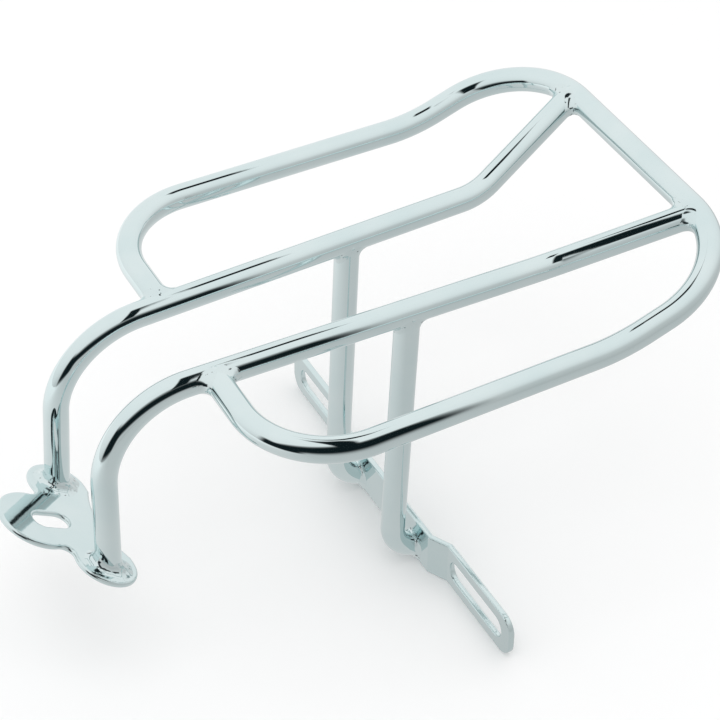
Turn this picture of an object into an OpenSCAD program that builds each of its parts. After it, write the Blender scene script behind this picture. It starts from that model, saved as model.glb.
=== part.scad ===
// Welded tube luggage rack for the rear mudguard of a motorcycle.
// +X runs to the rear, +Z up, and the rack is the same on both sides of Y = 0.
// The origin is midway between the two slots, on the rear face of the slotted tabs.

/* [Tube] */
// Outside diameter of every tube
tube_d = 12.7; // [11:0.1:14]
// Wall thickness of every tube
tube_wall = 1.6; // [1:0.1:2.5]
// Gap left between a coped or cut tube end and what it is welded to
cope_gap = 0.05; // [0.02:0.01:0.2]

/* [Rails] */
// Height of the rail axes above the middle of the slots
rail_height = 158; // [150:0.5:170]
// Distance from the legs' bend point back to the mounting face
leg_lead = 174; // [168:0.5:180]
// Distance from the legs' bend point back to the fold line
fold_run = 233; // [225:0.5:240]
// Centre distance of the two rails at the front bend
rail_gap_front = 52.5; // [50:0.5:58]
// Centre distance of the two rails at the fold line
rail_gap_fold = 65; // [60:0.5:70]
// Radius of the front bends
front_bend_r = 45.5; // [35:0.5:46]
// Radius of the small bend of the rails at the fold line
rail_fold_r = 44; // [30:1:60]

/* [Legs] */
// Height from the rail axes down to the plate, on the leg axes
leg_drop = 93; // [85:0.5:100]
// Centre distance of the legs at the plate
foot_gap = 63; // [58:0.5:66]
// How far the feet stand ahead of the legs' bend point
foot_lead = 4.5; // [0:0.5:8]

/* [Kick-up] */
// Upward slope of the rack behind the fold line
kick_angle = 18.7; // [12:0.1:24]
// Distance up the slope from the fold line to the rear tube
kick_run = 74.5; // [72:0.5:85]
// Centre distance of the rail ends on the rear tube
rail_end_gap = 112; // [90:1:116]

/* [Hoop] */
// Width of the hoop between tube axes, behind the fold line
hoop_w = 198.5; // [180:0.5:210]
// Width of the hoop between tube axes at its front corners
hoop_front_w = 203; // [185:0.5:215]
// Distance of the hoop's front tubes behind the legs' bend point
hoop_front_run = 56; // [56:0.5:65]
// Radius of the two front corners
front_corner_r = 43.5; // [30:0.5:50]
// Radius of the two rear corners
rear_corner_r = 48.5; // [40:0.5:52]
// Radius of the fold in the sides of the hoop
hoop_fold_r = 90; // [60:1:110]

/* [Uprights] */
// Distance of the upright tops ahead of the mounting face
upright_lead = 16.5; // [12:0.5:22]
// Radius of the bend at the foot of each upright
upright_bend_r = 19; // [17:0.5:22]
// Angle that each foot turns towards the strap
upright_turn = 70; // [60:1:78]
// Drop of the upright ends below the middle of the strap
upright_end_drop = 5; // [3:0.5:6]
// Straight stretch between the foot bend and the strap
upright_run_in = 0.5; // [0.2:0.1:2]
// Centre distance of the uprights at the strap
upright_gap = 60; // [56:0.5:64]

/* [Strap] */
// Overall length of the strap, over its two tabs
strap_len = 234; // [225:1:245]
// Height of the strap
strap_h = 25.4; // [25:0.1:30]
// Thickness of the strap
strap_t = 3.2; // [2.5:0.1:4]
// Corner radius of the tab ends
tab_corner_r = 9; // [4:0.5:12]
// Distance from the middle of the rack to the start of the joggle
joggle_start = 44.5; // [43:0.5:47]
// Length of the joggle along the strap
joggle_run = 10.5; // [8:0.5:12]
// Depth of the joggle
joggle_depth = 5.7; // [4:0.1:7]
// Length of each slot
slot_len = 51; // [40:0.5:52]
// Width of each slot
slot_w = 13; // [8:0.1:15]
// Metal left between the slot and the end of the tab
slot_margin = 8; // [6:0.5:10]

/* [Plate] */
// Upward tilt of the plate towards its front
plate_tilt = 31; // [24:0.5:36]
// Thickness of the plate
plate_t = 3; // [2.5:0.1:5]
// Radius of the round lobe under each leg
lobe_r = 16.5; // [14:0.5:18]
// Centre distance of the two lobes
lobe_gap = 59; // [56:0.5:62]
// Radius of the round front tongue
tongue_r = 20.5; // [18:0.5:23]
// Distance of the tongue's centre ahead of the legs
tongue_lead = 26; // [24:0.5:30]
// Radius of the inside corners beside the tongue
neck_r = 5; // [3:0.5:8]
// Radius of the hollow in the rear edge between the lobes
rear_hollow_r = 58; // [50:1:80]
// Distance of the rear edge behind the legs, on the middle line
rear_edge_run = 10.5; // [8:0.5:13]
// Length of the slot in the plate
plate_slot_len = 20; // [14:0.5:24]
// Width of the slot in the plate
plate_slot_w = 11; // [8:0.1:13]
// Distance of the slot's centre ahead of the legs
plate_slot_lead = 18; // [17:0.5:24]

/* [Welds] */
// Reach of a fillet along each of the two surfaces that it joins
weld_leg = 4; // [2.5:0.1:5]
// Reach of the fillets at the upright feet, which sit on the narrow strap
foot_weld_leg = 2; // [1.5:0.1:3]
// How far a fillet stands proud of the straight line between its toes
weld_crown = 0.7; // [0.5:0.1:1.2]
// Clearance between a fillet and the surfaces that it joins
weld_gap = 0.2; // [0.2:0.01:0.3]

/* [Hidden] */

LEFT = -1;
RIGHT = 1;
$fn = 64;

tube_r = tube_d / 2;
// Length added past a cut, so that the cut is clean
overrun = 12;
// How much thicker a bend's wall is on each side, and how far the straight tube runs into it
bend_swell = 0.1;
bend_lap = 0.3;
// Number of sections round a weld fillet
weld_steps = 48;

// Places along the rack
bend_x = -leg_lead;
foot_x = bend_x - foot_lead;
fold_x = bend_x + fold_run;
hoop_front_x = bend_x + hoop_front_run;
rear_x = fold_x + kick_run * cos(kick_angle);
rear_z = rail_height + kick_run * sin(kick_angle);
foot_z = rail_height - leg_drop;
strap_front_x = -strap_t - joggle_depth;
slot_y = strap_len / 2 - slot_margin - slot_len / 2;

// The rail ends stand on the axis of the hoop's rear tube, also where it has begun to turn
rail_end_off = max(0, rail_end_gap / 2 - (hoop_w / 2 - rear_corner_r));
rail_end_run = kick_run - rear_corner_r + sqrt(pow(rear_corner_r, 2) - pow(rail_end_off, 2));

// Lateral place of a rail's axis at distance x behind the mounting face
function rail_y(x) = (rail_gap_front + (rail_gap_fold - rail_gap_front) * (x - bend_x) / fold_run) / 2;

// Direction of the plate's outward face and of its forward slope
plate_normal = [sin(plate_tilt), 0, cos(plate_tilt)];

// Points through which the tube axes run, before the bends round them off
leg_dir = [foot_lead, (rail_gap_front - foot_gap) / 2, leg_drop];
function rail_points(side) = [
    [foot_x, side * foot_gap / 2, foot_z] - side_vec(leg_dir, side) * overrun / leg_drop,
    [bend_x, side * rail_gap_front / 2, rail_height],
    [fold_x, side * rail_gap_fold / 2, rail_height],
    [
        fold_x + rail_end_run * cos(kick_angle),
        side * rail_end_gap / 2,
        rail_height + rail_end_run * sin(kick_angle)
    ]
];
rail_radii = [front_bend_r, rail_fold_r];

hoop_points = [
    [hoop_front_x, LEFT * rail_y(hoop_front_x), rail_height],
    [hoop_front_x, LEFT * hoop_front_w / 2, rail_height],
    [fold_x, LEFT * hoop_w / 2, rail_height],
    [rear_x, LEFT * hoop_w / 2, rear_z],
    [rear_x, RIGHT * hoop_w / 2, rear_z],
    [fold_x, RIGHT * hoop_w / 2, rail_height],
    [hoop_front_x, RIGHT * hoop_front_w / 2, rail_height],
    [hoop_front_x, RIGHT * rail_y(hoop_front_x), rail_height]
];
hoop_radii = [front_corner_r, hoop_fold_r, rear_corner_r, rear_corner_r, hoop_fold_r, front_corner_r];
hoop_rear_points = [hoop_points[2], hoop_points[3], hoop_points[4], hoop_points[5]];
hoop_rear_radii = [rear_corner_r, rear_corner_r];

upright_top_x = -upright_lead;
upright_end = [strap_front_x, 0, -upright_end_drop];
upright_end_dir = [sin(upright_turn), 0, -cos(upright_turn)];
upright_vertex = upright_end - upright_end_dir * (upright_bend_r * tan(upright_turn / 2) + upright_run_in);
function upright_points(side) = [
    [upright_top_x, side * rail_y(upright_top_x), rail_height],
    upright_vertex + [0, side * upright_gap / 2, 0],
    upright_end + [0, side * upright_gap / 2, 0] + upright_end_dir * overrun
];

// Vector helpers
function unit(v) = v / norm(v);
function side_vec(v, side) = [v[0], side * v[1], v[2]];
function columns(x, y, z, p) = [
    [x[0], y[0], z[0], p[0]],
    [x[1], y[1], z[1], p[1]],
    [x[2], y[2], z[2], p[2]],
    [0, 0, 0, 1]
];
function across(v) = unit(abs(v[2]) < 0.9 ? cross([0, 0, 1], v) : cross([1, 0, 0], v));

// One bend: [centre, direction to its start, direction it sets off in, radius, angle, start, end]
function bend(a, b, c, r) =
    let (
        back = unit(a - b),
        ahead = unit(c - b),
        turn = 180 - acos(back * ahead),
        reach = r * tan(turn / 2),
        centre = b + unit(back + ahead) * r / cos(turn / 2),
        start = b + back * reach
    )
    [centre, (start - centre) / r, -back, r, turn, start, b + ahead * reach];

// Bends at all inner points of an axis
function bends(points, radii) = [
    for (i = [1 : len(points) - 2]) bend(points[i - 1], points[i], points[i + 1], radii[i - 1])
];

// Straight stretches between the bends, each as [start, end]
function straights(points, radii) =
    let (b = bends(points, radii), n = len(b))
    [for (i = [0 : n]) [i == 0 ? points[0] : b[i - 1][6], i == n ? points[n + 1] : b[i][5]]];

// Nearest point to p on a straight stretch, and on a bend
function near_straight(p, s) =
    let (d = s[1] - s[0], t = (p - s[0]) * d / (d * d))
    s[0] + d * min(1, max(0, t));
function near_bend(p, b) =
    let (v = p - b[0], a = atan2(v * b[2], v * b[1]), t = min(b[4], max(0, a)))
    b[0] + b[3] * (cos(t) * b[1] + sin(t) * b[2]);

// Nearest of several points to p
function nearest(p, found, i = 0, best = undef) =
    i == len(found) ? best
    : nearest(p, found, i + 1, best == undef || norm(found[i] - p) < norm(best - p) ? found[i] : best);

// Nearest point to p on a whole tube axis
function near_axis(p, points, radii) = nearest(p, concat(
    [for (s = straights(points, radii)) near_straight(p, s)],
    [for (b = bends(points, radii)) near_bend(p, b)]
));

// A ring, or a full disc where the bore is zero
module section(d, bore) {
    difference() {
        circle(d = d);
        if (bore > 0) circle(d = bore);
    }
}

// A round bar or tube along a bent axis. The wall of a bend is a hair thicker than that of the
// straight stretches, which run a little way into it, and so they join as one solid.
module bent_bar(points, radii, d, bore = 0) {
    s = straights(points, radii);
    last = len(s) - 1;
    for (i = [0 : last]) {
        z = unit(s[i][1] - s[i][0]);
        x = across(z);
        before = i == 0 ? 0 : bend_lap;
        after = i == last ? 0 : bend_lap;
        multmatrix(columns(x, cross(z, x), z, s[i][0] - z * before))
            linear_extrude(norm(s[i][1] - s[i][0]) + before + after) section(d, bore);
    }
    for (b = bends(points, radii))
        multmatrix(columns(b[1], b[2], cross(b[1], b[2]), b[0]))
            rotate_extrude(angle = b[4]) translate([b[3], 0])
                section(d + 2 * bend_swell, max(bore - 2 * bend_swell, 0));
}

// A tube of the rack's own size
module bent_tube(points, radii) {
    bent_bar(points, radii, tube_d, tube_d - 2 * tube_wall);
}

// The space that a mating tube takes, with the gap left at its coped joints
module cope(points, radii) {
    bent_bar(points, radii, tube_d + 2 * cope_gap);
}

// Weld fillets
// The surface that a fillet runs out on is a plane [point, normal] or a tube [points, radii].
function on_plane(surface) = is_num(surface[0][0]);
function surface_normal(p, surface) =
    on_plane(surface) ? surface[1] : unit(p - near_axis(p, surface[0], surface[1]));
function height_over(p, surface) =
    on_plane(surface) ? (p - surface[0]) * surface[1] - weld_gap
    : norm(p - near_axis(p, surface[0], surface[1])) - tube_r - weld_gap;
function onto(p, surface) = p - surface_normal(p, surface) * height_over(p, surface);

// Distance along the branch tube at which its side line leaves the surface, by halving
function leave(q, d, surface, low, high, n = 16) =
    n == 0 ? high
    : let (mid = (low + high) / 2)
      height_over(q + d * mid, surface) > 0 ? leave(q, d, surface, low, mid, n - 1)
      : leave(q, d, surface, mid, high, n - 1);

// Distance along the same line at which it passes nearest to the axis of a tube, by halving
function approach(q, d, surface, low, high, n = 16) =
    n == 0 ? low
    : let (mid = (low + high) / 2, p = q + d * mid)
      (p - near_axis(p, surface[0], surface[1])) * d > 0 ? approach(q, d, surface, low, mid, n - 1)
      : approach(q, d, surface, mid, high, n - 1);

// Point of the root of a fillet at angle a round the branch tube
function seam(a, start, d, surface) =
    let (
        x = across(d),
        y = cross(d, x),
        q = start + (tube_r + weld_gap) * (cos(a) * x + sin(a) * y),
        low = on_plane(surface) ? -tube_d : approach(q, d, surface, -tube_d, tube_d)
    )
    q + d * leave(q, d, surface, low, 3 * tube_d);

// The same point, or where it would lie in a bend of the branch tube, that point moved out of the bend
function clear(p, branch) =
    branch == undef ? p
    : let (v = p - near_axis(p, branch[0], branch[1]), need = tube_r + bend_swell + weld_gap)
      p + unit(v) * max(0, need - norm(v));

// One section of a fillet: its root, its toe on the tube, three points of its face,
// its toe on the surface, and three points between that toe and the root
function fillet_section(a, start, d, surface, leg, branch) =
    let (
        x = across(d),
        out = cos(a) * x + sin(a) * cross(d, x),
        root = seam(a, start, d, surface),
        along = unit(seam(a + 2, start, d, surface) - seam(a - 2, start, d, surface)),
        normal = surface_normal(root, surface),
        away = unit(cross(normal, along)),
        spread = away * (out - d) > 0 ? away : -away,
        toe = onto(root + leg * spread, surface),
        tube_toe = root + leg * d,
        middle = (toe + tube_toe) / 2 + weld_crown * unit(out + normal),
        pull = 2 * middle - (toe + tube_toe) / 2
    )
    [for (p = concat(
        [root],
        [for (t = [0 : 0.25 : 1]) (1 - t) * (1 - t) * tube_toe + 2 * t * (1 - t) * pull + t * t * toe],
        [for (t = [0.75 : -0.25 : 0.25]) onto(root + leg * t * spread, surface)]
    )) clear(p, branch)];

// A closed ring of sections round the branch tube that starts at start and runs along d. A branch
// tube that bends inside the fillet is given as [points, radii].
module fillet(start, d, surface, leg, branch = undef) {
    sections = [
        for (i = [0 : weld_steps - 1])
            fillet_section(360 * i / weld_steps, start, d, surface, leg, branch)
    ];
    m = len(sections[0]);
    polyhedron(
        points = [for (s = sections) for (p = s) p],
        faces = [
            for (i = [0 : weld_steps - 1]) for (j = [0 : m - 1])
                let (i2 = (i + 1) % weld_steps, j2 = (j + 1) % m)
                each [
                    [i * m + j, i * m + j2, i2 * m + j2],
                    [i * m + j, i2 * m + j2, i2 * m + j]
                ]
        ]
    );
}

// Bent tubes

// Outer hoop: one tube, its two ends coped onto the outer sides of the rails
module hoop() {
    color("gainsboro") difference() {
        difference() {
            bent_tube(hoop_points, hoop_radii);
            cope([rail_points(LEFT)[1], rail_points(LEFT)[2]], []);
        }
        cope([rail_points(RIGHT)[1], rail_points(RIGHT)[2]], []);
    }
}

// Inner rail with its leg: the foot is cut to the plate and the rear end coped onto the hoop
module rail(side) {
    color("silver") difference() {
        difference() {
            bent_tube(rail_points(side), rail_radii);
            cope(hoop_rear_points, hoop_rear_radii);
        }
        below_plate();
    }
}

// Everything under the plate's top face, in the region of the feet
module below_plate() {
    on_plate() translate([-lobe_r * 2, -foot_gap, -overrun * 3 + cope_gap])
        cube([lobe_r * 4, 2 * foot_gap, overrun * 3]);
}

// Upright: coped under its rail, bent to the rear at the bottom and cut to the strap's face
module upright(side) {
    color("lightgray") difference() {
        difference() {
            bent_tube(upright_points(side), [upright_bend_r]);
            cope([rail_points(side)[1], rail_points(side)[2]], []);
        }
        translate([strap_front_x - cope_gap, side * upright_gap / 2 - tube_d, -strap_h])
            cube([overrun * 2, 2 * tube_d, 2 * strap_h]);
    }
}

// Flat pressed pieces

// Cross strap: one flat bar on edge, joggled outside the uprights, with slotted tabs
module cross_strap() {
    color("gainsboro") difference() {
        intersection() {
            translate([0, 0, -strap_h / 2]) linear_extrude(strap_h) strap_plan();
            rotate([90, 0, 90]) translate([0, 0, strap_front_x - strap_t])
                linear_extrude(2 * (joggle_depth + strap_t)) strap_face();
        }
        for (side = [LEFT, RIGHT])
            rotate([90, 0, 90]) translate([side * slot_y, 0, strap_front_x - strap_t])
                linear_extrude(2 * (joggle_depth + strap_t)) slot(slot_len, slot_w);
    }
}

// Outline of the strap seen from above, with its two joggles
module strap_plan() {
    joggle_end = joggle_start + joggle_run;
    half = strap_len / 2;
    // Shift along the strap that keeps the sloping stretch as thick as the rest
    slope = atan2(joggle_depth, joggle_run);
    shift = strap_t * tan(slope / 2);
    front = [
        [strap_front_x, joggle_start + shift],
        [-strap_t, joggle_end + shift],
        [-strap_t, half]
    ];
    rear = [
        [0, half],
        [0, joggle_end],
        [strap_front_x + strap_t, joggle_start]
    ];
    right = concat(front, rear);
    left = [for (i = [len(right) - 1 : -1 : 0]) [right[i][0], -right[i][1]]];
    polygon(concat(right, left));
}

// Outline of the strap seen from the rear, with rounded tab ends
module strap_face() {
    reach = strap_len / 2 - tab_corner_r;
    rise = strap_h / 2 - tab_corner_r;
    square([strap_len - 2 * tab_corner_r, strap_h], center = true);
    square([strap_len, 2 * rise], center = true);
    for (y = [-reach, reach]) for (z = [-rise, rise])
        translate([y, z]) circle(r = tab_corner_r);
}

// A slot with round ends, lying along the first axis
module slot(length, width) {
    square([length - width, width], center = true);
    for (x = [-1, 1])
        translate([x * (length - width) / 2, 0]) circle(d = width);
}

// Frame of the plate: origin on its top face between the feet, first axis down to the rear
module on_plate() {
    translate([foot_x, 0, foot_z]) rotate([0, plate_tilt, 0]) children();
}

// Centre of the inside corner that touches the tongue and one lobe from outside
lobe_y = lobe_gap / 2;
neck_span = norm([tongue_lead, lobe_y]);
neck_along = (pow(tongue_r + neck_r, 2) - pow(lobe_r + neck_r, 2) + neck_span * neck_span) / (2 * neck_span);
neck_off = sqrt(pow(tongue_r + neck_r, 2) - neck_along * neck_along);
neck_dir = [tongue_lead, lobe_y] / neck_span;
neck_centre = [-tongue_lead, 0] + neck_dir * neck_along + [-neck_dir[1], neck_dir[0]] * neck_off;

// Outline of the plate in its own frame, front to -X
module plate_outline() {
    translate([-tongue_lead, 0]) circle(r = tongue_r);
    for (side = [LEFT, RIGHT]) translate([0, side * lobe_y]) circle(r = lobe_r);
    difference() {
        polygon([
            [-tongue_lead, 0], [neck_centre[0], -neck_centre[1]], [0, -lobe_y], [lobe_r, -lobe_y],
            [lobe_r, lobe_y], [0, lobe_y], [neck_centre[0], neck_centre[1]]
        ]);
        for (side = [LEFT, RIGHT])
            translate([neck_centre[0], side * neck_centre[1]]) circle(r = neck_r);
        translate([rear_edge_run + rear_hollow_r, 0]) circle(r = rear_hollow_r);
    }
}

// Front plate: one flat stamping, tilted up to the front, under both legs
module front_plate() {
    color("silver") on_plate() translate([0, 0, -plate_t]) linear_extrude(plate_t) difference() {
        plate_outline();
        translate([-plate_slot_lead, 0]) slot(plate_slot_len, plate_slot_w);
    }
}

// Weld fillets, one for each joint

module weld_hoop(side) {
    start = [hoop_front_x, side * rail_y(hoop_front_x), rail_height];
    d = unit([0, side, 0]);
    color("darkgray") fillet(start, d, [rail_points(side), rail_radii], weld_leg);
}

module weld_rail_end(side) {
    p = rail_points(side);
    color("darkgray") fillet(p[3], unit(p[2] - p[3]), [hoop_rear_points, hoop_rear_radii], weld_leg);
}

module weld_upright_top(side) {
    p = upright_points(side);
    color("darkgray") fillet(p[0], unit(p[1] - p[0]), [rail_points(side), rail_radii], weld_leg);
}

module weld_upright_foot(side) {
    end = upright_end + [0, side * upright_gap / 2, 0];
    branch = [upright_points(side), [upright_bend_r]];
    color("darkgray") fillet(end, -upright_end_dir, [end, [-1, 0, 0]], foot_weld_leg, branch);
}

module weld_leg(side) {
    start = [foot_x, side * foot_gap / 2, foot_z];
    color("darkgray") fillet(start, unit(side_vec(leg_dir, side)), [start, plate_normal], weld_leg);
}

hoop();
rail(LEFT);  // rail_left
rail(RIGHT);  // rail_right
upright(LEFT);  // upright_left
upright(RIGHT);  // upright_right
cross_strap();
front_plate();
weld_hoop(LEFT);  // weld_hoop_left
weld_hoop(RIGHT);  // weld_hoop_right
weld_rail_end(LEFT);  // weld_rail_end_left
weld_rail_end(RIGHT);  // weld_rail_end_right
weld_upright_top(LEFT);  // weld_upright_top_left
weld_upright_top(RIGHT);  // weld_upright_top_right
weld_upright_foot(LEFT);  // weld_upright_foot_left
weld_upright_foot(RIGHT);  // weld_upright_foot_right
weld_leg(LEFT);  // weld_leg_left
weld_leg(RIGHT);  // weld_leg_right
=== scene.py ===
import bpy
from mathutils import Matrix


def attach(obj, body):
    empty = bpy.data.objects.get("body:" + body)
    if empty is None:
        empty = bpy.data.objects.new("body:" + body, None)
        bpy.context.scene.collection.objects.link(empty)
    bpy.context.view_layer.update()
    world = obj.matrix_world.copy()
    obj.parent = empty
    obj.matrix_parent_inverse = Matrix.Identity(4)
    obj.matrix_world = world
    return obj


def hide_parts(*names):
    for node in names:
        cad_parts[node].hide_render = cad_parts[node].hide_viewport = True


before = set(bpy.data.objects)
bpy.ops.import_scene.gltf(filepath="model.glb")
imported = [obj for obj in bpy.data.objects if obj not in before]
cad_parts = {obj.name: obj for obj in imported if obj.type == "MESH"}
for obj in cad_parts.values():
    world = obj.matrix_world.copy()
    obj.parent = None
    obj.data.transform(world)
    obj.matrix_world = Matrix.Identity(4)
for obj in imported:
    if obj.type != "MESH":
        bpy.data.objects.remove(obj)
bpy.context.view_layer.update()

import math

import bmesh
import bpy
import numpy as np
from mathutils import Matrix

# Chrome plating
# Bright nickel and chromium over polished steel, put on after welding, so one skin covers the
# whole rack. It has a cool tint, faint polishing waves and very fine wear.
plating = {}
for name, tint, wave, rough in (  # rough is the mean roughness
    ("tube_chrome", (0.73, 0.825, 0.83), 0.10, 0.045),
    ("flat_chrome", (0.70, 0.80, 0.805), 0.22, 0.07),
    ("weld_chrome", (0.72, 0.81, 0.815), 0.35, 0.07),
):
    mat = bpy.data.materials.new(name)
    mat.use_nodes = True
    nodes, links = mat.node_tree.nodes, mat.node_tree.links
    shader = nodes["Principled BSDF"]
    shader.inputs["Metallic"].default_value = 1.0
    where = nodes.new("ShaderNodeTexCoord")
    broad = nodes.new("ShaderNodeTexNoise")
    broad.inputs["Scale"].default_value = 38.0
    broad.inputs["Detail"].default_value = 3.0
    fine = nodes.new("ShaderNodeTexNoise")
    fine.inputs["Scale"].default_value = 900.0
    fine.inputs["Detail"].default_value = 4.0
    for tex in (broad, fine):
        links.new(where.outputs["Object"], tex.inputs["Vector"])
    ramp = nodes.new("ShaderNodeValToRGB")
    ramp.color_ramp.elements[0].position = 0.3
    ramp.color_ramp.elements[0].color = (tint[0] * 0.93, tint[1] * 0.96, tint[2] * 0.965, 1)
    ramp.color_ramp.elements[1].position = 0.7
    ramp.color_ramp.elements[1].color = (*tint, 1)
    links.new(broad.outputs["Fac"], ramp.inputs["Fac"])
    haze = nodes.new("ShaderNodeMapRange")
    haze.inputs["To Min"].default_value = rough * 0.6
    haze.inputs["To Max"].default_value = rough * 1.4
    links.new(fine.outputs["Fac"], haze.inputs["Value"])
    links.new(haze.outputs["Result"], shader.inputs["Roughness"])
    ripple = nodes.new("ShaderNodeBump")
    ripple.inputs["Strength"].default_value = wave
    ripple.inputs["Distance"].default_value = 0.0006
    links.new(broad.outputs["Fac"], ripple.inputs["Height"])
    grain = nodes.new("ShaderNodeBump")
    grain.inputs["Strength"].default_value = 0.05
    grain.inputs["Distance"].default_value = 0.00002
    links.new(fine.outputs["Fac"], grain.inputs["Height"])
    links.new(ripple.outputs["Normal"], grain.inputs["Normal"])
    if name == "flat_chrome":
        soft = nodes.new("ShaderNodeBevel")
        soft.samples = 8
        soft.inputs["Radius"].default_value = 0.0014
        links.new(soft.outputs["Normal"], ripple.inputs["Normal"])
    if name == "weld_chrome":
        # Painted shade: small pits in the weld, painted as dark spots multiplied into its colour
        shaded_pits = nodes.new("ShaderNodeTexNoise")
        shaded_pits.inputs["Scale"].default_value = 420.0
        shaded_pits.inputs["Detail"].default_value = 2.0
        links.new(where.outputs["Object"], shaded_pits.inputs["Vector"])
        pit_shade = nodes.new("ShaderNodeValToRGB")
        pit_shade.color_ramp.elements[0].position = 0.66
        pit_shade.color_ramp.elements[0].color = (1, 1, 1, 1)
        pit_shade.color_ramp.elements[1].position = 0.72
        pit_shade.color_ramp.elements[1].color = (0.05, 0.06, 0.07, 1)
        links.new(shaded_pits.outputs["Fac"], pit_shade.inputs["Fac"])
        mix = nodes.new("ShaderNodeMix")
        mix.data_type = "RGBA"
        mix.blend_type = "MULTIPLY"
        mix.inputs["Factor"].default_value = 1.0
        links.new(ramp.outputs["Color"], mix.inputs["A"])
        links.new(pit_shade.outputs["Color"], mix.inputs["B"])
        links.new(mix.outputs["Result"], shader.inputs["Base Color"])
    else:
        links.new(ramp.outputs["Color"], shader.inputs["Base Color"])
    links.new(grain.outputs["Normal"], shader.inputs["Normal"])
    plating[name] = mat

# Bent tubes
# Half-inch steel tube bent cold on a former: one hoop, two rails that turn down into legs, and two
# uprights with a short bend at the foot. Every end is welded on, so none of them shows.
tube_r = 0.00635
rail_z = 0.158
foot_x, foot_y, foot_z = -0.1785, 0.0315, 0.065
bend_x, bend_y = -0.174, 0.02625
fold_x, fold_y = 0.059, 0.0325
end_x, end_y, end_z = 0.12930, 0.056, 0.18180


def rail_y(x):
    """Half the distance between the rails, which grows evenly from bend_y at the leg bend to fold_y at
    the fold behind."""
    return bend_y + (fold_y - bend_y) * (x - bend_x) / (fold_x - bend_x)


def centreline(corners, radii, step=0.0008, stride=0.003):
    """Points of a path through the corners, each rounded by an arc of its radius that touches both
    sides, with evenly spaced points on the straight stretches too."""
    out = [np.array(corners[0], float)]
    for a, b, c, r in zip(corners[:-2], corners[1:-1], corners[2:], radii):
        a, b, c = (np.array(v, float) for v in (a, b, c))
        back, ahead = (a - b) / np.linalg.norm(a - b), (c - b) / np.linalg.norm(c - b)
        turn = math.pi - math.acos(np.clip(back @ ahead, -1, 1))
        half = (back + ahead) / np.linalg.norm(back + ahead)
        centre = b + half * r / math.cos(turn / 2)
        x = (b + back * r * math.tan(turn / 2) - centre) / r
        t = np.linspace(0, turn, max(8, int(r * turn / step)))[:, None]
        out += list(centre + r * (np.cos(t) * x - np.sin(t) * back))
    out.append(np.array(corners[-1], float))
    full = [out[0]]
    for a, b in zip(out[:-1], out[1:]):
        parts = max(1, int(np.linalg.norm(b - a) / stride))
        full += [a + (b - a) * k / parts for k in range(1, parts + 1)]
    return np.array(full)


def tube_surface(path, radius, around, cut_start=None, cut_end=None):
    """A circle of the given radius carried along the path square to it, without twist. Each end that has a
    cutting plane, given as a point and a normal, is slid onto it."""
    along = np.gradient(path, axis=0)
    along[0], along[-1] = path[1] - path[0], path[-1] - path[-2]
    along /= np.linalg.norm(along, axis=1)[:, None]
    side = np.zeros_like(path)
    first = np.cross(along[0], [0.3, 0.5, 0.8])
    side[0] = first / np.linalg.norm(first)
    for i in range(1, len(path)):
        v = side[i - 1] - along[i] * (side[i - 1] @ along[i])
        side[i] = v / np.linalg.norm(v)
    other = np.cross(along, side)
    u = np.linspace(0, 2 * math.pi, around, endpoint=False)
    ring = np.cos(u)[None, :, None] * side[:, None] + np.sin(u)[None, :, None] * other[:, None]
    grid = path[:, None] + radius * ring
    for row, cut in ((0, cut_start), (-1, cut_end)):
        if cut is not None:
            d = along[row]
            grid[row] += d * (((np.array(cut[0]) - grid[row]) @ cut[1]) / (d @ np.array(cut[1])))[:, None]
    return grid


def grid_mesh(name, grid, closed_rows=False):
    """A closed mesh over rows of points, each row a loop. The rows form a ring, or the first and the last
    are capped."""
    n, m = grid.shape[:2]
    i, j = np.meshgrid(np.arange(n if closed_rows else n - 1), np.arange(m), indexing="ij")
    i2, j2 = (i + 1) % n, (j + 1) % m
    quads = np.stack([i * m + j, i * m + j2, i2 * m + j2, i2 * m + j], axis=-1).reshape(-1, 4).tolist()
    if not closed_rows:
        quads += [list(range(m))[::-1], list(range((n - 1) * m, n * m))]
    mesh = bpy.data.meshes.new(name)
    mesh.from_pydata(grid.reshape(-1, 3).tolist(), [], quads)
    volume = sum(t.area * (t.center @ t.normal) for t in mesh.polygons)
    if volume < 0:
        mesh.flip_normals()
    mesh.shade_smooth()
    piece = bpy.data.objects.new(name, mesh)
    bpy.context.collection.objects.link(piece)
    return piece


# The hoop, from its end on the left rail round to its end on the right one
front_x, front_y, side_y = -0.118, 0.1015, 0.09925
rear_x, rear_z = 0.12957, 0.18189
front_r, fold_r, rear_r = 0.0435, 0.090, 0.0485
hoop_corners = [
    (front_x, -rail_y(front_x), rail_z), (front_x, -front_y, rail_z), (fold_x, -side_y, rail_z),
    (rear_x, -side_y, rear_z), (rear_x, side_y, rear_z), (fold_x, side_y, rail_z),
    (front_x, front_y, rail_z), (front_x, rail_y(front_x), rail_z),
]
hoop_path = centreline(hoop_corners, [front_r, fold_r, rear_r, rear_r, fold_r, front_r])

# The rails and the uprights, whose lower ends are cut along the faces that they stand on
leg_bend_r, rail_fold_r = 0.0455, 0.044
knee_r, knee_run = 0.019, 0.0005
upright_x, upright_y, heel_z = -0.0165, 0.030, -0.005
plate_tilt, knee_turn = math.radians(31), math.radians(70)
plate_normal = (math.sin(plate_tilt), 0, math.cos(plate_tilt))
strap_x = -0.0089
heel_dir = np.array((math.sin(knee_turn), 0, -math.cos(knee_turn)))
sink = 0.0006


def side_points(s):
    """Corners of the rail (foot, leg bend, fold, rear end) and of the upright (top, knee, heel) on the left
    for s = -1 and on the right for s = 1."""
    rail = np.array([
        (foot_x, s * foot_y, foot_z), (bend_x, s * bend_y, rail_z),
        (fold_x, s * fold_y, rail_z), (end_x, s * end_y, end_z),
    ])
    top = np.array((upright_x, s * rail_y(upright_x), rail_z))
    heel = np.array((strap_x, s * upright_y, heel_z))
    knee = heel - heel_dir * (knee_r * math.tan(knee_turn / 2) + knee_run)
    return rail, np.array([top, knee, heel])


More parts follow.
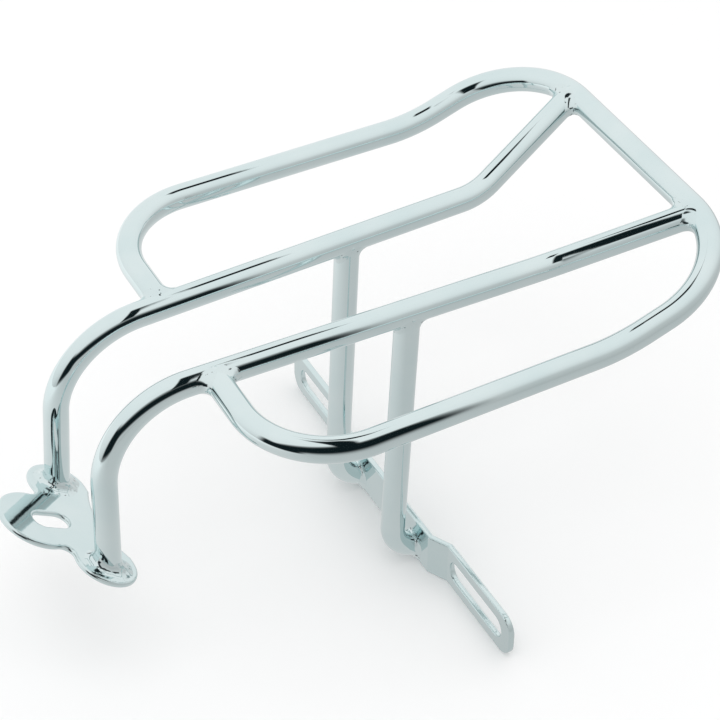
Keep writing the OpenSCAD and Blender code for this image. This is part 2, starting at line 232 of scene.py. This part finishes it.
plate_cut = ((foot_x, 0, foot_z - sink), plate_normal)
strap_cut = ((strap_x + sink, 0, 0), (1, 0, 0))
paths = {"hoop": (hoop_path, None, None)}
for word, s in (("left", -1), ("right", 1)):
    rail, upright = side_points(s)
    rail[0] -= (rail[1] - rail[0]) * 0.02  # both lower ends run on for 2 mm, and the cut trims them
    upright[2] += heel_dir * 0.002
    paths["rail_" + word] = (centreline(rail, [leg_bend_r, rail_fold_r]), plate_cut, None)
    paths["upright_" + word] = (centreline(upright, [knee_r]), None, strap_cut)
for node, (path, start, end) in paths.items():
    piece = grid_mesh("tube_" + node, tube_surface(path, tube_r, 72, start, end))
    piece.data.materials.append(plating["tube_chrome"])
    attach(piece, "root")
    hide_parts(node)

# Weld beads
# Fillets laid by hand round every tube end and then plated over: smooth concave runs with slight
# lumps, and small pits where the torch stopped, with their shade painted as dark spots. Those between the
# uprights and the strap are smallest.


def toward_axis(p, path):
    """The nearest point of a path to each point, taken over all its straight steps."""
    a, d = path[:-1], np.diff(path, axis=0)
    t = np.clip(np.einsum("pij,ij->pi", p[:, None] - a[None], d) / (d ** 2).sum(1), 0, 1)
    q = a[None] + t[..., None] * d[None]
    best = np.argmin(((q - p[:, None]) ** 2).sum(-1), axis=1)
    return q[np.arange(len(p)), best]


def weld_surface(start, d, main, reach, seed, lump, full):
    """A closed ring of fillet sections round a tube that runs from start along d. main is the path of the
    tube that it meets, or a point and the normal of the face that it meets. At each angle the root lies
    where the tube's side meets main, and the face is a quadratic curve from a toe on the tube to a toe on
    main, each about reach away. It leaves both without a step where full is 0, and stands prouder as full
    grows. lump is how uneven the reach is, from seed."""
    rng = np.random.default_rng(seed)
    d = np.array(d, float) / np.linalg.norm(d)
    x = np.cross(d, [0.2, 0.9, 0.4])
    x /= np.linalg.norm(x)
    y = np.cross(d, x)
    a = np.linspace(0, 2 * math.pi, 192, endpoint=False)
    out = np.cos(a)[:, None] * x + np.sin(a)[:, None] * y
    q = np.array(start) + tube_r * out
    if len(main) == 2:
        n = np.tile(np.array(main[1], float), (len(a), 1))
        root = q + d * (((np.array(main[0]) - q) @ n[0]) / (d @ n[0]))[:, None]
    else:
        # first the place nearest the other tube's axis, and from there the place on its surface
        low, high = np.full(len(a), -0.010), np.full(len(a), 0.010)
        for _ in range(22):
            mid = (low + high) / 2
            p = q + d * mid[:, None]
            going = ((p - toward_axis(p, main)) @ d) > 0
            low, high = np.where(going, low, mid), np.where(going, mid, high)
        low, high = low.copy(), np.full(len(a), 0.035)
        for _ in range(22):
            mid = (low + high) / 2
            p = q + d * mid[:, None]
            over = np.linalg.norm(p - toward_axis(p, main), axis=1) > tube_r
            low, high = np.where(over, low, mid), np.where(over, mid, high)
        root = q + d * high[:, None]
        n = root - toward_axis(root, main)
        n /= np.linalg.norm(n, axis=1)[:, None]
    run = np.roll(root, -3, axis=0) - np.roll(root, 3, axis=0)
    run /= np.linalg.norm(run, axis=1)[:, None]
    spread = np.cross(n, run)
    spread *= np.sign(((out - d) * spread).sum(1))[:, None]
    spread /= np.linalg.norm(spread, axis=1)[:, None]
    size = np.ones(len(a))
    for k, part in ((2, 0.5), (3, 0.6), (5, 0.5), (9, 0.30), (21, 0.06)):
        size += lump * part * np.sin(k * a + rng.uniform(0, 6.28))
    leg = reach * size[:, None]
    toe, tube_toe = root + leg * spread, root + leg * d
    if len(main) != 2:
        up = toe - toward_axis(toe, main)
        toe = toe + up * (tube_r / np.linalg.norm(up, axis=1) - 1)[:, None]
    bulge = (out + n) / np.linalg.norm(out + n, axis=1)[:, None]
    pull = root + bulge * leg * full
    t = np.linspace(0, 1, 15)[None, :, None]
    face = (1 - t) ** 2 * tube_toe[:, None] + 2 * t * (1 - t) * pull[:, None] + t ** 2 * toe[:, None]
    toe_depth, root_depth = 0.00025, 0.0012
    ends = np.clip(np.abs(t - 0.5) * 2, 0, 1) ** 8
    face = face - toe_depth * (t * n[:, None] + (1 - t) * out[:, None]) * ends
    inner = root - root_depth * (n + out)
    return np.concatenate([face, inner[:, None]], axis=1)


rear_path = centreline(hoop_corners[2:6], [rear_r, rear_r])
for word, s in (("left", -1), ("right", 1)):
    (foot, bend, fold, end), (top, knee, heel) = side_points(s)
    hoop_end = (front_x, s * rail_y(front_x), rail_z)
    rail_path = paths["rail_" + word][0]
    strap_face, plate_face = ((strap_x, 0, 0), (-1, 0, 0)), ((foot_x, 0, foot_z), plate_normal)
    joints = {  # where the tube ends, its direction, what it meets, reach, lump and full
        "weld_hoop_": (hoop_end, (0, s, 0), rail_path, 0.0062, 0.10, 0.04),
        "weld_rail_end_": (end, fold - end, rear_path, 0.0062, 0.10, 0.04),
        "weld_upright_top_": (top, knee - top, rail_path, 0.0050, 0.08, 0.04),
        "weld_upright_foot_": (heel, -heel_dir, strap_face, 0.0030, 0.18, 0.20),
        "weld_leg_": (foot, bend - foot, plate_face, 0.0058, 0.16, 0.12),
    }
    for number, (node, (start, d, main, reach, lump, full)) in enumerate(joints.items()):
        seed = 11 * number + s + 40
        piece = grid_mesh("bead_" + node + word, weld_surface(start, d, main, reach, seed, lump, full), True)
        piece.data.materials.append(plating["weld_chrome"])
        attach(piece, "root")
        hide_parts(node + word)

# Cross strap and front plate
# Flat steel: a bar on edge with two joggles and a long slot near each end, and a stamped plate with
# one oval slot. Each is its own solid with the edges rounded over, as the press and the polisher leave them.
for node, rounding in (("cross_strap", 0.0006), ("front_plate", 0.0012)):
    work = bmesh.new()
    work.from_mesh(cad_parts[node].data)
    bmesh.ops.remove_doubles(work, verts=work.verts, dist=1e-6)
    bmesh.ops.dissolve_limit(work, angle_limit=math.radians(0.5), verts=work.verts, edges=work.edges)
    mesh = bpy.data.meshes.new("rounded_" + node)
    work.to_mesh(mesh)
    work.free()
    piece = bpy.data.objects.new("rounded_" + node, mesh)
    bpy.context.collection.objects.link(piece)
    mesh.materials.append(plating["flat_chrome"])
    edges = piece.modifiers.new("rounded_edges", "BEVEL")
    edges.width = rounding
    edges.segments = 3
    edges.limit_method = "ANGLE"
    edges.angle_limit = math.radians(40)
    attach(piece, "root")
    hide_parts(node)

# Stage
# Not part of the rack: a white floor just under the lower edge of the strap, in soft light from all
# round and above, with a light tent and black cards that are seen as reflections only.


def level_square(half, z):
    """The four corners of a level square of side 2 * half about the origin, at height z."""
    return [(-half, -half, z), (half, -half, z), (half, half, z), (-half, half, z)]


floor_mesh = bpy.data.meshes.new("floor")
floor_mesh.from_pydata(level_square(4, -0.0129), [], [(0, 1, 2, 3)])
floor = bpy.data.objects.new("floor", floor_mesh)
bpy.context.collection.objects.link(floor)
paper = bpy.data.materials.new("paper")
paper.use_nodes = True
paper.node_tree.nodes["Principled BSDF"].inputs["Base Color"].default_value = (0.93, 0.93, 0.93, 1)
paper.node_tree.nodes["Principled BSDF"].inputs["Roughness"].default_value = 0.9
floor.data.materials.append(paper)


def only_reflected(card):
    """Hides an object from the camera and from soft light, so that it shows as a reflection only."""
    card.visible_camera = False
    card.visible_diffuse = False
    card.visible_shadow = False
    card.visible_transmission = False


# A light tent and a table, seen as reflections only: white overhead and behind, greyer low in front.
# The brightness is a ramp, through its stops, over the position times slope[:3] plus slope[3].
tent_r, rings, spokes = 1.15, 32, 96
u, v = np.meshgrid(np.linspace(0, 2 * math.pi, spokes + 1), np.linspace(0, math.pi / 2, rings + 1))
dome = np.stack([np.cos(u) * np.cos(v), np.sin(u) * np.cos(v), np.sin(v)], axis=-1) * tent_r
lower_left = [r * (spokes + 1) + c for r in range(rings) for c in range(spokes)]
quads = [(a, a + 1, a + spokes + 2, a + spokes + 1) for a in lower_left]
for name, corners, faces, stops, slope in (
    ("tent", (dome - (0, 0, 0.012)).reshape(-1, 3).tolist(), quads,
     ((0.0, 0.52), (0.12, 0.56), (0.40, 0.64), (0.58, 0.84), (0.75, 0.93), (1.0, 0.97)),
     (0, 0.36, 0.5, 0.42)),
    ("table", level_square(1.2, -0.0124), [(0, 1, 2, 3)],
     ((0.0, 0.56), (0.45, 0.62), (0.58, 0.76), (0.70, 1.0), (1.0, 1.08)),
     (-0.30, 0.42, 0, 0.5)),
):
    mesh = bpy.data.meshes.new(name)
    mesh.from_pydata(corners, [], faces)
    card = bpy.data.objects.new(name, mesh)
    bpy.context.collection.objects.link(card)
    cloth = bpy.data.materials.new(name + "_cloth")
    cloth.use_nodes = True
    nodes, links = cloth.node_tree.nodes, cloth.node_tree.links
    nodes.remove(nodes["Principled BSDF"])
    where = nodes.new("ShaderNodeTexCoord")
    along = nodes.new("ShaderNodeVectorMath")
    along.operation = "DOT_PRODUCT"
    along.inputs[1].default_value = slope[:3]
    links.new(where.outputs["Object"], along.inputs[0])
    shift = nodes.new("ShaderNodeMath")
    shift.operation = "ADD"
    shift.inputs[1].default_value = slope[3]
    links.new(along.outputs["Value"], shift.inputs[0])
    shade = nodes.new("ShaderNodeValToRGB")
    while len(shade.color_ramp.elements) < len(stops):
        shade.color_ramp.elements.new(0.5)
    for stop, (at, value) in zip(shade.color_ramp.elements, stops):
        stop.position, stop.color = at, (value, value, value, 1)
    links.new(shift.outputs[0], shade.inputs["Fac"])
    glow = nodes.new("ShaderNodeEmission")
    links.new(shade.outputs["Color"], glow.inputs["Color"])
    links.new(glow.outputs[0], nodes["Material Output"].inputs["Surface"])
    card.data.materials.append(cloth)
    only_reflected(card)

# Black cards inside the tent: one beside the rack, one beyond its front end and two overhead. They too
# are seen as reflections only, as the dark lines along the tubes. Each edge fades over a share of the
# card, in the order left, right, lower, upper.
card_y, card_x, card_z = -0.16, -0.50, 0.6
for name, corners, soft in (
    ("front_card",
     [(-0.62, card_y, 0.150), (0.02, card_y, 0.150), (0.02, card_y, 0.40), (-0.62, card_y, 0.40)],
     (0.15, 0.06, 0.14, 0.60)),
    ("side_card",
     [(card_x, -0.03, 0.06), (card_x, -0.50, 0.06), (card_x, -0.50, 0.38), (card_x, -0.03, 0.38)],
     (0.15, 0.3, 0.2, 0.3)),
    ("top_card",
     [(-0.190, -0.50, card_z), (0.000, -0.50, card_z), (0.042, 0.12, card_z), (-0.078, 0.12, card_z)],
     (0.22, 0.18, 0.15, 0.15)),
    ("kick_card",
     [(0.035, 0.07, card_z), (0.125, 0.07, card_z), (0.125, 0.26, card_z), (0.035, 0.26, card_z)],
     (0.2, 0.2, 0.2, 0.2)),
):
    mesh = bpy.data.meshes.new(name)
    mesh.from_pydata(corners, [], [(0, 1, 2, 3)])
    layer = mesh.uv_layers.new(name="card")
    for corner, uv in zip(layer.data, ((0, 0), (1, 0), (1, 1), (0, 1))):
        corner.uv = uv
    card = bpy.data.objects.new(name, mesh)
    bpy.context.collection.objects.link(card)
    black = bpy.data.materials.new(name + "_black")
    black.use_nodes = True
    nodes, links = black.node_tree.nodes, black.node_tree.links
    nodes.remove(nodes["Principled BSDF"])
    where = nodes.new("ShaderNodeTexCoord")
    parts = nodes.new("ShaderNodeSeparateXYZ")
    links.new(where.outputs["UV"], parts.inputs["Vector"])
    mask = None
    for axis, low, high in (("X", soft[0], soft[1]), ("Y", soft[2], soft[3])):
        for start, end in ((0.0, low), (1.0, 1.0 - high)):
            edge = nodes.new("ShaderNodeMapRange")
            edge.interpolation_type = "SMOOTHSTEP"
            edge.inputs["From Min"].default_value = start
            edge.inputs["From Max"].default_value = end
            links.new(parts.outputs[axis], edge.inputs["Value"])
            if mask is None:
                mask = edge.outputs["Result"]
            else:
                both = nodes.new("ShaderNodeMath")
                both.operation = "MULTIPLY"
                links.new(mask, both.inputs[0])
                links.new(edge.outputs["Result"], both.inputs[1])
                mask = both.outputs[0]
    clear = nodes.new("ShaderNodeBsdfTransparent")
    felt = nodes.new("ShaderNodeEmission")
    felt.inputs["Color"].default_value = (0.006, 0.012, 0.014, 1)
    veil = nodes.new("ShaderNodeMixShader")
    links.new(mask, veil.inputs["Fac"])
    links.new(clear.outputs[0], veil.inputs[1])
    links.new(felt.outputs[0], veil.inputs[2])
    links.new(veil.outputs[0], nodes["Material Output"].inputs["Surface"])
    card.data.materials.append(black)
    only_reflected(card)

# The white surroundings: a little dimmer as light than as what the camera and the reflections see
world = bpy.data.worlds.new("studio")
bpy.context.scene.world = world
world.use_nodes = True
nodes, links = world.node_tree.nodes, world.node_tree.links
soft = nodes["Background"]
soft.inputs["Color"].default_value = (1, 1, 1, 1)
soft.inputs["Strength"].default_value = 0.94
bright = nodes.new("ShaderNodeBackground")
bright.inputs["Color"].default_value = (1, 1, 1, 1)
bright.inputs["Strength"].default_value = 1.0
rays = nodes.new("ShaderNodeLightPath")
seen = nodes.new("ShaderNodeMath")
seen.operation = "ADD"
links.new(rays.outputs["Is Camera Ray"], seen.inputs[0])
links.new(rays.outputs["Is Glossy Ray"], seen.inputs[1])
more = nodes.new("ShaderNodeMath")
more.operation = "ADD"
more.use_clamp = True
links.new(seen.outputs[0], more.inputs[0])
links.new(rays.outputs["Is Transmission Ray"], more.inputs[1])
either = nodes.new("ShaderNodeMixShader")
links.new(more.outputs[0], either.inputs["Fac"])
links.new(soft.outputs[0], either.inputs[1])
links.new(bright.outputs[0], either.inputs[2])
links.new(either.outputs[0], nodes["World Output"].inputs["Surface"])

# One large lamp above, for the soft shadow
key = bpy.data.lights.new("key", "AREA")
key.shape = "DISK"
key.size = 1.6
key.energy = 9.0
lamp = bpy.data.objects.new("key", key)
lamp.location = (-0.5, -0.6, 2.2)
bpy.context.collection.objects.link(lamp)
lamp.visible_glossy = False

# Camera
# A long lens from the front left and above: the place and angle from which the photo was taken, as
# azimuth, elevation and roll.
camera = bpy.data.cameras.new("camera")
camera.sensor_width = 36
camera.lens = 115.43
camera.shift_x = 0.0301
camera.shift_y = -0.0036
eye = bpy.data.objects.new("camera", camera)
bpy.context.collection.objects.link(eye)
az, el, roll = (math.radians(v) for v in (-28.22, 41.77, 0.21))
back = np.array((math.sin(az) * math.cos(el), -math.cos(az) * math.cos(el), math.sin(el)))
right = np.array((math.cos(az), math.sin(az), 0))
up = np.cross(back, right)
right, up = math.cos(roll) * right + math.sin(roll) * up, math.cos(roll) * up - math.sin(roll) * right
place = np.array((-0.4398, -0.7495, 0.8732))
eye.matrix_world = Matrix([(right[k], up[k], back[k], place[k]) for k in range(3)] + [(0, 0, 0, 1)])
bpy.context.scene.camera = eye
bpy.context.scene.render.resolution_x = 720
bpy.context.scene.render.resolution_y = 720
bpy.context.scene.view_settings.view_transform = "Standard"
